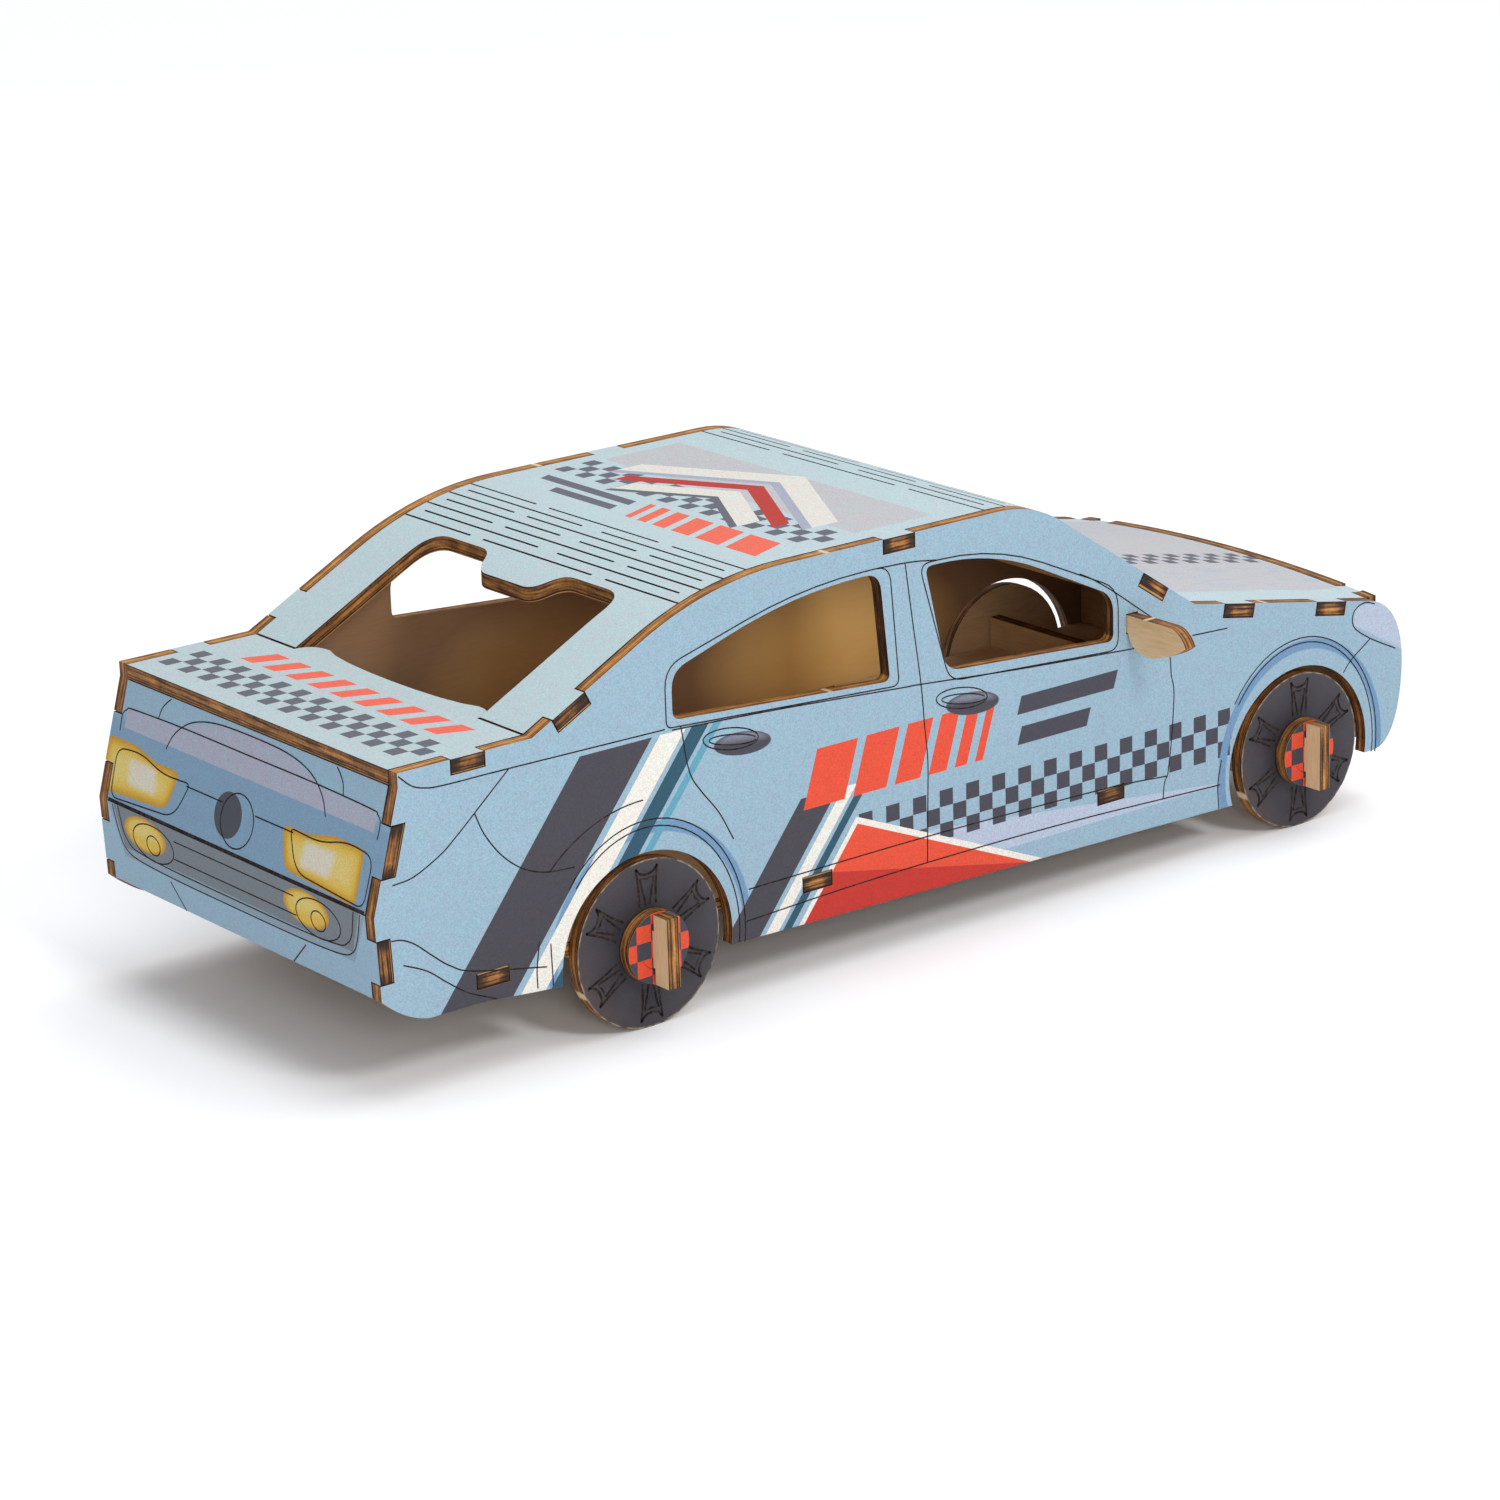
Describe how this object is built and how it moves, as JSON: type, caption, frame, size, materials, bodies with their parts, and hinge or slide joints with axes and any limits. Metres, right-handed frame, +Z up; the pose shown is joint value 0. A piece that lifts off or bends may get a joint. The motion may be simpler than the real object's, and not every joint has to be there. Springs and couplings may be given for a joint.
{
  "type": "wooden model car",
  "caption": "Saloon car model of slotted laser-cut plywood sheets with a slit-bent roof sheet, open windows, door mirrors and wheels that roll on flat wooden pins.",
  "frame": {"origin": "bottom centre of the bounding box, on the surface that the wheels stand on, midway along the car", "axes": "+X to the front of the car, +Y to its left side, +Z up"},
  "size_m": [0.2832, 0.14, 0.0904],
  "materials": {
    "side_print": "matt print on birch plywood, burnt edges",
    "top_print": "matt print on birch plywood, burnt edges",
    "tail_print": "matt print on birch plywood, burnt edges",
    "wheel_print": "matt dark print with engraved spokes, burnt edges",
    "hub_print": "matt checked print, burnt edges",
    "raw_ply": "bare birch plywood, burnt edges"
  },
  "bodies": {
    "body": {"side_right": "side_print", "side_left": "side_print", "roof_panel": "top_print", "boot_deck": "top_print", "hood": "top_print", "rear_upper_panel": "tail_print", "rear_lower_panel": "tail_print", "front_fascia": "side_print", "floor_plate": "raw_ply", "rear_axle_beam": "raw_ply", "front_axle_beam": "raw_ply", "axle_pin_rear_right": "raw_ply", "axle_pin_rear_left": "raw_ply", "axle_pin_front_right": "raw_ply", "axle_pin_front_left": "raw_ply", "mirror_right": "raw_ply", "mirror_left": "raw_ply"},
    "rear_right_wheel": {"wheel_rear_right": "wheel_print", "hub_rear_right": "hub_print"},
    "rear_left_wheel": {"wheel_rear_left": "wheel_print", "hub_rear_left": "hub_print"},
    "front_right_wheel": {"wheel_front_right": "wheel_print", "hub_front_right": "hub_print"},
    "front_left_wheel": {"wheel_front_left": "wheel_print", "hub_front_left": "hub_print"}
  },
  "joints": [
    {"name": "rear_right_roll", "type": "hinge", "parent": "body", "child": "rear_right_wheel", "pos_m": [-0.0761, -0.0503, 0.018], "axis": [0, 1, 0], "continuous": true},
    {"name": "rear_left_roll", "type": "hinge", "parent": "body", "child": "rear_left_wheel", "pos_m": [-0.0761, 0.0503, 0.018], "axis": [0, 1, 0], "continuous": true},
    {"name": "front_right_roll", "type": "hinge", "parent": "body", "child": "front_right_wheel", "pos_m": [0.1084, -0.0503, 0.018], "axis": [0, 1, 0], "continuous": true},
    {"name": "front_left_roll", "type": "hinge", "parent": "body", "child": "front_left_wheel", "pos_m": [0.1084, 0.0503, 0.018], "axis": [0, 1, 0], "continuous": true}
  ]
}
